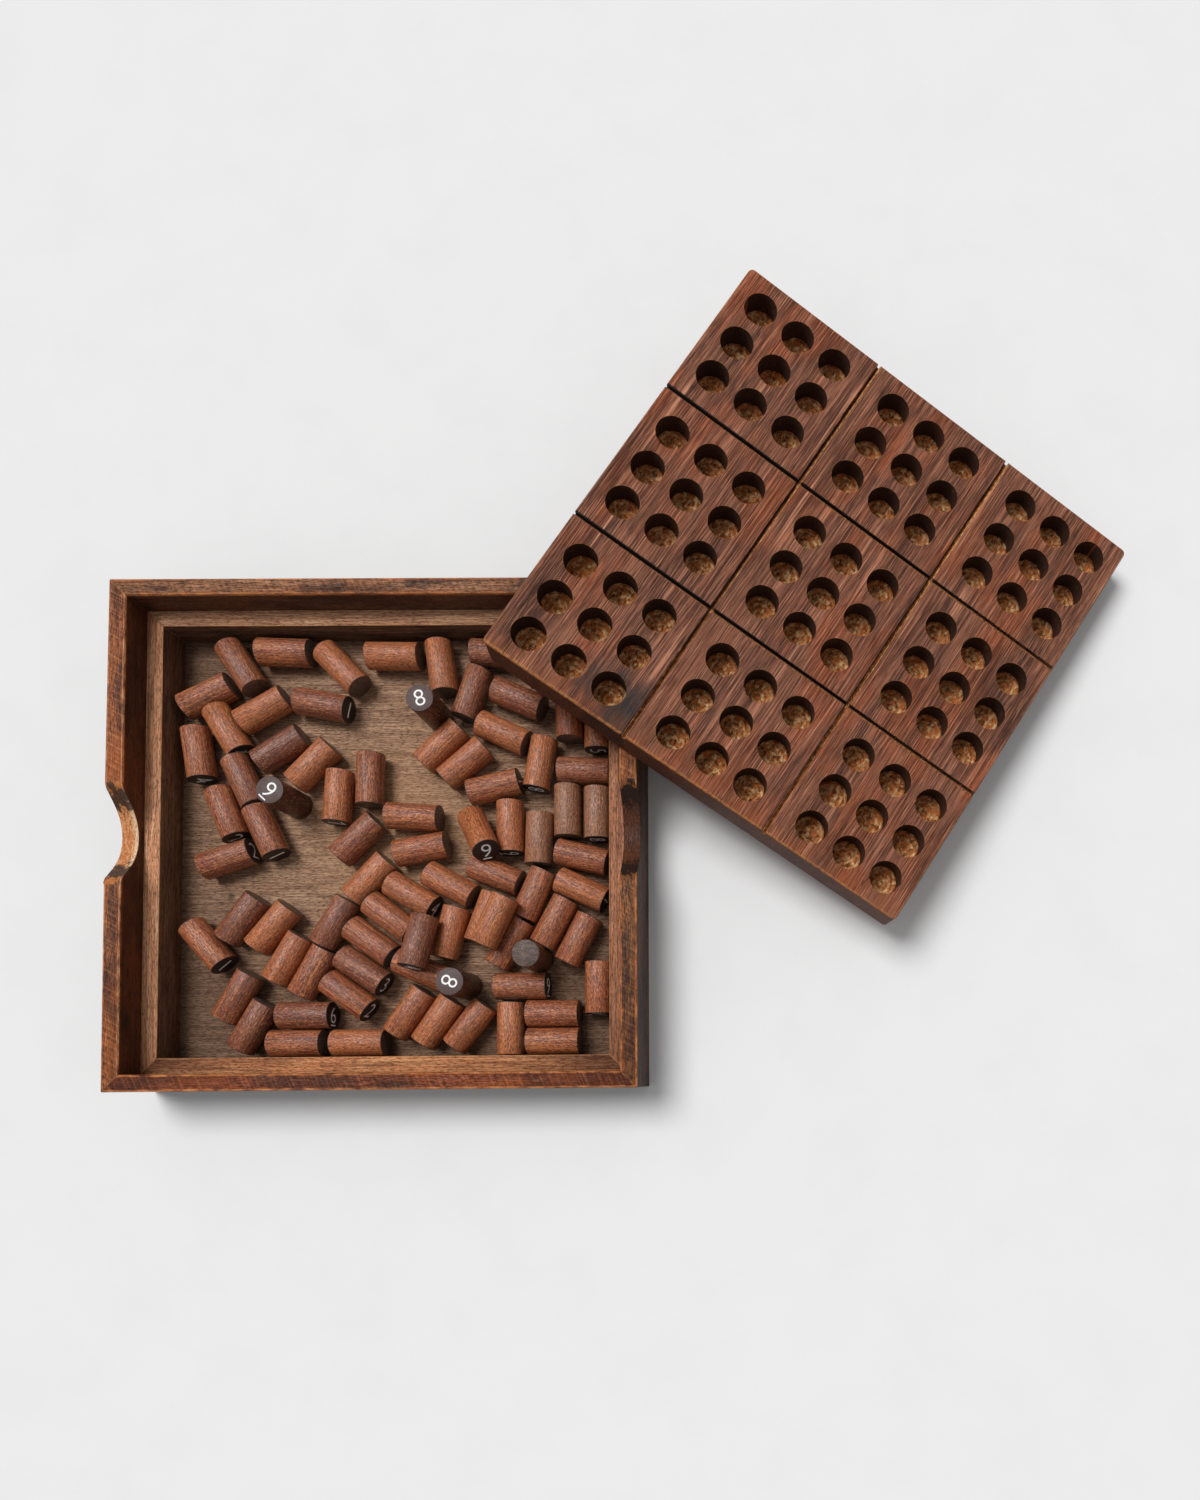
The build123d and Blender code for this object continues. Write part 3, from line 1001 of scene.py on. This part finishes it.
@dataclass
class PegBoard:
    """The drilled board, which leans on the tray's right wall."""

    pose: BoardPose
    hole_depth_mm: float = 12.0
    kerf_depth_mm: float = 2.5
    kerf_offset_mm: float = 37.45
    kerf_width_mm: float = 1.5
    arris_mm: float = 0.35
    least_degrees: float = 40.0
    # The holes lie within the first of these from the middle, and the sides beyond the second
    drilled_mm: float = 103.5
    edge_mm: float = 105.0
    # From the hole's wall inwards: how far each ring goes in, and how far it is off the seat
    seat_rings: tuple[tuple[float, float], ...] = (
        (0.3, 3.0), (0.5, 2.0), (0.7, 1.3), (0.9, 0.8), (1.1, 0.5), (1.2, 0.3), (1.2, 0.1), (0.9, -0.6))
    roughness_mm: float = 0.6
    tear_mm: float = 1.8
    finish: BoardWood = BoardWood("weathered_stained_hardwood", "#88543e", "#ae6f55", "#553125", "#26120b",
                                  fibre_mm=0.75, pore_mm=0.45, pores=0.5, straightness=3.0, relief_mm=0.12)

    def build(self) -> None:
        """Builds and dresses the board."""
        shape = unpacked("board")
        for face in shape.faces[:]:
            mark = self.mark(face)
            if mark:
                mark_faces(shape, [face], mark)
        self.drill_seats(shape)
        ease_arrises(shape, self.arris_mm, outer_arrises(shape, self.least_degrees))
        settle(shape, "drilled_board", self.finish.material(self.pose), "board", ("board",))

    def mark(self, face: bmesh.types.BMFace) -> Mark | None:
        """Tells where on the board a face is.

        Args:
            face: a face of the board's mesh.

        Returns:
            Its mark, or nothing for the top and the underside.
        """
        centre = self.pose.local(face.calc_center_median()) / MM
        rise = face.normal.dot(self.pose.up)
        out = max(abs(v) for v in centre.xy)
        from_kerf = min(abs(abs(v) - self.kerf_offset_mm) for v in centre.xy)
        slack_mm = 0.1
        if rise > LEVEL and centre.z < 3 * slack_mm - self.hole_depth_mm:
            return Mark.SEAT
        if (-self.kerf_depth_mm - slack_mm < centre.z < -slack_mm / 2
                and from_kerf < self.kerf_width_mm / 2 + slack_mm):
            return Mark.KERF
        if abs(rise) < UPRIGHT and abs(centre.z + self.hole_depth_mm / 2) < 1.0 and out < self.drilled_mm:
            return Mark.BORE
        return Mark.SIDE if abs(rise) < UPRIGHT and out > self.edge_mm else None

    def drill_seats(self, shape: Shape) -> None:
        """Shapes each hole's bottom as a spade bit leaves it: torn rings round a pilot dimple.

        Args:
            shape: the board's mesh, with its seats marked.
        """
        layer = shape.faces.layers.float[Mark.SEAT.value]
        for seat in [face for face in shape.faces if face[layer] > 0.5]:
            base = seat.calc_center_median()
            for ring, (width_mm, lift_mm) in enumerate(self.seat_rings):
                made = bmesh.ops.inset_individual(shape, faces=[seat], thickness=width_mm * MM,
                                                  use_even_offset=True)
                if ring % 2:
                    mark_faces(shape, made["faces"], Mark.GOUGE)
                for vert in seat.verts:
                    height = (vert.co - base).dot(self.pose.up) / MM
                    jolt = noise.noise(vert.co / (self.tear_mm * MM)) * self.roughness_mm
                    vert.co += self.pose.up * (lift_mm + jolt - height) * MM


@dataclass(frozen=True)
class Dowel:
    """Where one peg lies: its middle, and the direction of its numbered end."""

    middle: Vector
    end: Vector


@dataclass
class Pegs:
    """The pegs, nine for each number and one more by the batten, with the number on one end."""

    radius_mm: float = 6.6
    length_mm: float = 25.5
    sides: int = 28
    arris_mm: float = 0.3
    chip_mm: float = 0.07
    digit_mm: float = 8.2
    # The share of a font's size that its digits are high
    digit_share: float = 0.72
    thinned_mm: float = 0.11
    print_mm: float = 0.05
    sunk_mm: float = 0.01
    bar_mm: tuple[float, float] = (4.2, 0.65)
    bar_below_mm: float = 0.85
    seed: int = 81
    # The way each peg's numbered end points, in degrees from +X; up and down stand on end
    ends: dict[int, tuple[float | str, ...]] = field(default_factory=lambda: {
        1: (178, -11, -65, 98, 13, -25, -50, -125, 180),
        2: (-154, -148, -134, -68, 18, 155, -136, -36, -127),
        3: (123, 115, 179, -139, 166, 63, -120, -34, -120),
        4: (-81, -59, 177, -31, 143, 156, 76, 180, -101),
        5: (157, 91, -90, 151, -127, -124, 0, 90, 180),
        6: (134, -150, 89, 45, 90, -133, 0, -119, "down"),
        7: (-94, 71, 88, 66, 70, -120, 180, -120, 65),
        8: (-100, 178, -90, 176, -130, -121, 90, "up", "up"),
        9: (-89, 62, 158, -170, 144, 180, 0, "up", -60),
    })
    # How far a digit that shows is rolled about its peg, by number and place in the list
    rolls: dict[tuple[int, int], float] = field(default_factory=lambda: {
        **dict.fromkeys(((1, 1), (1, 2), (1, 6), (2, 4), (2, 7), (4, 0), (4, 3), (4, 8), (5, 2), (6, 6),
                         (7, 0), (8, 0), (8, 2), (9, 0), (9, 6)), -90.0),
        (3, 7): -80.0, (8, 7): 17.0, (8, 8): -115.0, (9, 7): -44.0, (9, 8): -24.0})
    usual_tones: tuple[float, float] = (0.15, 0.85)
    # Pegs that the stain took darker (0) or lighter (1), and standing pegs with painted shade on their sides
    # (below 0)
    tones: dict[tuple[int, int], float] = field(default_factory=lambda: {
        (2, 1): 0.0, (4, 8): 0.1, (5, 4): 0.1, (6, 4): 1.0, (6, 8): -0.8, (7, 1): 0.2, (7, 2): 0.97,
        (7, 4): 0.8, (7, 8): 0.75, (8, 2): 1.0, (8, 7): -0.8, (8, 8): -1.0, (9, 7): -0.9})
    # The peg along the right batten, its numbered end to the front: its middle, number, roll and tone
    beside_batten_mm: tuple[float, float, float] = (100.3, -71.5, 11.1)
    beside_number: int = 5
    beside_roll: float = 0.4
    beside_tone: float = 0.45
    beside_grain_mm: float = 911.0
    # How far on in the grain the next number's pegs start, and the next peg
    grain_steps_mm: tuple[float, float] = (155.7, 31.7)
    # A peg whose axis lies this near to an entry of the table of ends is taken in its turn
    sure_fit: float = 0.88
    wood: PegWood = PegWood("stained_beech_dowel", "#a14e2e", "#dc864f", "#582212", "#32150d", roughness=0.38,
                            gloss=0.55, streak_mm=2.2, fibre_mm=0.55, pore_mm=0.4, fibres=0.45, pores=0.5,
                            relief_mm=0.05)
    ink: Plain = Plain("white_screen_ink", "#fbfaf8", "#ebe7e4", 0.6, 0.5)

    def build(self) -> None:
        """Builds the pegs and the numbers printed on them, one piece for each number."""
        chance = Random(self.seed)
        finishes = (self.wood.material(), self.ink.material())
        for number in sorted(self.ends):
            self.make(number, self.drawn(number, chance), (f"dowels_{number}", f"digits_{number}"), finishes,
                      chance, (f"pegs_{number}",))
        beside = self.place(Dowel(Vector(self.beside_batten_mm) * MM, Vector((0, -1, 0))), self.beside_roll)
        self.make(self.beside_number, [(beside, self.beside_tone, self.beside_grain_mm)],
                  ("dowel_beside_batten", "digit_beside_batten"), finishes, chance)

    def drawn(self, number: int, chance: Random) -> Iterator[tuple[Matrix, float, float]]:
        """Draws how each CAD peg of one number is rolled and stained, as it is about to be made.

        Args:
            number: the digit on them.
            chance: draws the rolls and tones that no table gives.

        Yields:
            The peg's axes, its tone and the offset of its grain.
        """
        for index, dowel in enumerate(self.lying(number)):
            roll, tone = chance.uniform(0, 360), chance.uniform(*self.usual_tones)
            place = self.place(dowel, math.radians(self.rolls.get((number, index), roll)))
            offset = self.grain_steps_mm[0] * number + self.grain_steps_mm[1] * index
            yield place, self.tones.get((number, index), tone), offset

    def make(self, number: int, turned: Iterable[tuple[Matrix, float, float]], names: tuple[str, str],
             finishes: tuple[Material, Material], chance: Random, stands_for: tuple[str, ...] = ()) -> None:
        """Makes pegs of one number and the digits on their ends, as two pieces.

        Args:
            number: the digit on them.
            turned: for each, its axes, its tone and the offset of its grain.
            names: what the two pieces are called.
            finishes: the wood and the ink.
            chance: draws the chips round the rims.
            stands_for: the CAD nodes that the pegs replace.
        """
        wood, print_ = blank(), bmesh.new()
        glyph = self.glyph(number)
        for place, tone, offset in turned:
            self.turn_dowel(wood, place, tone, offset, chance)
            self.print_digit(print_, glyph, place)
        bpy.data.meshes.remove(glyph)
        settle(wood, names[0], finishes[0], f"pegs_{number}", stands_for)
        settle(print_, names[1], finishes[1], f"pegs_{number}")

    def lying(self, number: int) -> list[Dowel]:
        """Finds where the CAD pegs of one number lie.

        Args:
            number: the digit on them.

        Returns:
            A dowel for each, in the order of the table of ends.
        """
        shape = unpacked(f"pegs_{number}")
        left = set(shape.verts)
        found = []
        while left:
            start = min(left, key=lambda v: v.index)
            island, edge = {start}, [start]
            while edge:
                vert = edge.pop()
                for link in vert.link_edges:
                    other = link.other_vert(vert)
                    if other not in island:
                        island.add(other)
                        edge.append(other)
            left -= island
            caps = sorted({f for v in island for f in v.link_faces}, key=lambda f: len(f.verts))[-2:]
            middle = sum((f.calc_center_median() for f in caps), Vector()) / 2
            found.append((middle, caps[0].normal.copy()))
        shape.free()
        dowels = []
        for end in self.ends[number]:
            aim = self.aim(end)
            fits = [abs(axis.normalized().dot(aim)) for _, axis in found]
            middle, axis = found.pop(0 if fits[0] > self.sure_fit else fits.index(max(fits)))
            dowels.append(Dowel(middle, axis if axis.dot(aim) > 0 else -axis))
        return dowels

    def aim(self, end: float | str) -> Vector:
        """Turns an entry of the table of ends to a direction.

        Args:
            end: degrees from +X, or up or down.

        Returns:
            A vector one metre long.
        """
        if isinstance(end, str):
            return Vector((0, 0, 1 if end == "up" else -1))
        return Vector((math.cos(math.radians(end)), math.sin(math.radians(end)), 0))

    def place(self, dowel: Dowel, roll: float) -> Matrix:
        """The peg's own axes: Z out of its numbered end, and Y up the digit.

        Args:
            dowel: where the peg lies.
            roll: how far the digit is rolled from upright.

        Returns:
            A matrix from the peg's axes to the tray's frame.
        """
        out = dowel.end.normalized()
        upright = Vector((0, 0, 1)) if abs(out.z) < LEVEL else Vector((0, 1, 0))
        side = upright.cross(out).normalized()
        axes = Matrix((side, out.cross(side), out)).transposed().to_4x4()
        return Matrix.Translation(dowel.middle) @ axes @ Matrix.Rotation(roll, 4, "Z")

    def turn_dowel(self, wood: Shape, place: Matrix, tone: float, offset: float, chance: Random) -> None:
        """Adds one dowel to the mesh, with its own grain coordinates.

        Args:
            wood: the mesh of all dowels with this number.
            place: the peg's axes.
            tone: 0 for a dark stain and 1 for a light one.
            offset: moves the grain, so that no two pegs match.
            chance: draws the chips round the rims.
        """
        peg = blank()
        grain = peg.verts.layers.float_vector.new("grain")
        shade = peg.verts.layers.float.new("tone")
        radius = self.radius_mm * MM
        bmesh.ops.create_cone(peg, cap_ends=True, cap_tris=False, segments=self.sides, radius1=radius,
                              radius2=radius, depth=self.length_mm * MM)
        caps = [face for face in peg.faces if abs(face.normal.z) > LEVEL]
        mark_faces(peg, [face for face in caps if face.normal.z > 0], Mark.INKED)
        mark_faces(peg, [face for face in caps if face.normal.z < 0], Mark.BARE)
        rims = [edge for edge in peg.edges if edge.calc_face_angle(0.0) > 1.0]
        rounded = ease_arrises(peg, self.arris_mm, rims)
        inked, bare = (peg.faces.layers.float[mark.value] for mark in (Mark.INKED, Mark.BARE))
        for face in rounded:
            face[inked] = 1.0 if face.calc_center_median().z > 0 else 0.0
            face[bare] = 0.0
        for vert in peg.verts:
            vert[grain] = Vector((vert.co.z + offset * MM, vert.co.x, vert.co.y))
            vert[shade] = tone
            # Only the rims are chipped
            if abs(vert.co.z) > (self.length_mm / 2 - self.arris_mm * 1.2) * MM:
                slip = 1 - chance.random() * self.chip_mm / self.radius_mm
                vert.co.x *= slip
                vert.co.y *= slip
        peg.transform(place)
        scrap = baked_down(peg, "peg")
        wood.from_mesh(scrap)
        bpy.data.meshes.remove(scrap)

    def glyph(self, number: int) -> bpy.types.Mesh:
        """The digit as a thin raised print, with a bar under 6 and 9.

        Args:
            number: the digit.

        Returns:
            A mesh on a peg's own axes, on its numbered end.
        """
        text = bpy.data.curves.new(f"digit_{number}", "FONT")
        text.body = str(number)
        text.size = self.digit_mm / self.digit_share * MM
        text.extrude = self.print_mm / 2 * MM
        text.offset = -self.thinned_mm * MM
        text.resolution_u = 4
        holder = linked(text.name, text)
        bpy.context.view_layer.update()
        mesh = bpy.data.meshes.new_from_object(holder.evaluated_get(bpy.context.evaluated_depsgraph_get()))
        bpy.data.objects.remove(holder)
        bpy.data.curves.remove(text)
        shape = bmesh.new()
        shape.from_mesh(mesh)
        bpy.data.meshes.remove(mesh)
        bmesh.ops.remove_doubles(shape, verts=shape.verts, dist=1e-6)
        low, high = (Vector(pick(v.co[i] for v in shape.verts) for i in range(3)) for pick in (min, max))
        bmesh.ops.translate(shape, verts=shape.verts, vec=-(low + high) / 2)
        if number in (6, 9):
            bar = bmesh.ops.create_cube(shape, size=1.0)["verts"]
            below = Vector((0, -self.digit_mm / 2 - self.bar_below_mm, 0)) * MM
            bmesh.ops.scale(shape, verts=bar, vec=Vector((*self.bar_mm, self.print_mm)) * MM)
            bmesh.ops.translate(shape, verts=bar, vec=below)
        # The print sinks a little into the wood, so that no gap shows under it
        rise = (self.length_mm / 2 - self.sunk_mm) * MM + max(v.co.z for v in shape.verts)
        bmesh.ops.translate(shape, verts=shape.verts, vec=Vector((0, 0, rise)))
        return baked_down(shape, f"glyph_{number}")

    def print_digit(self, print_: Shape, glyph: bpy.types.Mesh, place: Matrix) -> None:
        """Adds one printed digit on the end of its peg.

        Args:
            print_: the mesh of all digits of this number.
            glyph: the digit.
            place: the peg's axes.
        """
        before = len(print_.verts)
        print_.from_mesh(glyph)
        print_.verts.ensure_lookup_table()
        bmesh.ops.transform(print_, matrix=place, verts=print_.verts[before:])


@dataclass
class Studio:
    """A pale table, soft light and the camera at the photograph's angle."""

    lens_mm: float = 21.05
    sensor_mm: float = 36.0
    shift: tuple[float, float] = (-0.1314, 0.1954)
    camera_at: tuple[float, float, float] = (0.1931, -0.1140, 0.4396)
    camera_turn: tuple[float, float, float] = (1.94471, -0.50208, -0.53733)
    table_size: float = 8.0
    table_z: float = -0.0001
    # Soft light as from a large window far away: its side from +X and its height, in degrees
    window_azimuth: float = 135.0
    window_elevation: float = 62.0
    window_power: float = 2.341
    window_spread: float = 30.0
    sky_strength: float = 0.35
    paper: Plain = Plain("matt_paper", "#ececec", "#eaeaea", 40.0, 0.95)

    def build(self) -> None:
        """Sets up the table, the lights, the sky and the camera."""
        shape = bmesh.new()
        bmesh.ops.create_grid(shape, x_segments=1, y_segments=1, size=self.table_size / 2)
        bmesh.ops.translate(shape, verts=shape.verts, vec=Vector((0, 0, self.table_z)))
        table = linked("table", baked_down(shape, "table"))
        table.data.materials.append(self.paper.material())
        self.window()
        self.sky()
        self.camera()

    def window(self) -> None:
        """Lights the set softly from one side."""
        light = bpy.data.lights.new("window", "SUN")
        light.angle = math.radians(self.window_spread)
        light.energy = self.window_power
        turn, rise = math.radians(self.window_azimuth), math.radians(self.window_elevation)
        towards = Vector((math.cos(rise) * math.cos(turn), math.cos(rise) * math.sin(turn), math.sin(rise)))
        holder = linked("window", light)
        holder.location = towards
        holder.rotation_euler = towards.to_track_quat("Z", "Y").to_euler()

    def sky(self) -> None:
        """Even light from all round."""
        world = bpy.data.worlds.new("studio")
        world.use_nodes = True
        back = world.node_tree.nodes["Background"]
        back.inputs[0].default_value = (1.0, 1.0, 1.0, 1.0)
        back.inputs[1].default_value = self.sky_strength
        bpy.context.scene.world = world

    def camera(self) -> None:
        """The camera, where the photograph's perspective puts it."""
        data = bpy.data.cameras.new("camera")
        data.lens = self.lens_mm
        data.sensor_width = self.sensor_mm
        data.sensor_fit = "AUTO"
        data.shift_x, data.shift_y = self.shift
        data.clip_start, data.clip_end = 0.01, 50.0
        camera = linked("camera", data)
        camera.location = self.camera_at
        camera.rotation_euler = [math.radians(a) for a in self.camera_turn]
        bpy.context.scene.camera = camera
        bpy.context.scene.view_settings.view_transform = "Standard"


def main() -> None:
    """Builds the set, piece by piece, and the studio round it."""
    logging.basicConfig(level=logging.INFO, format="%(name)s: %(message)s")
    Studio().build()
    Tray().build()
    PegBoard(BoardPose.found()).build()
    Pegs().build()


if __name__ == "__main__":
    main()
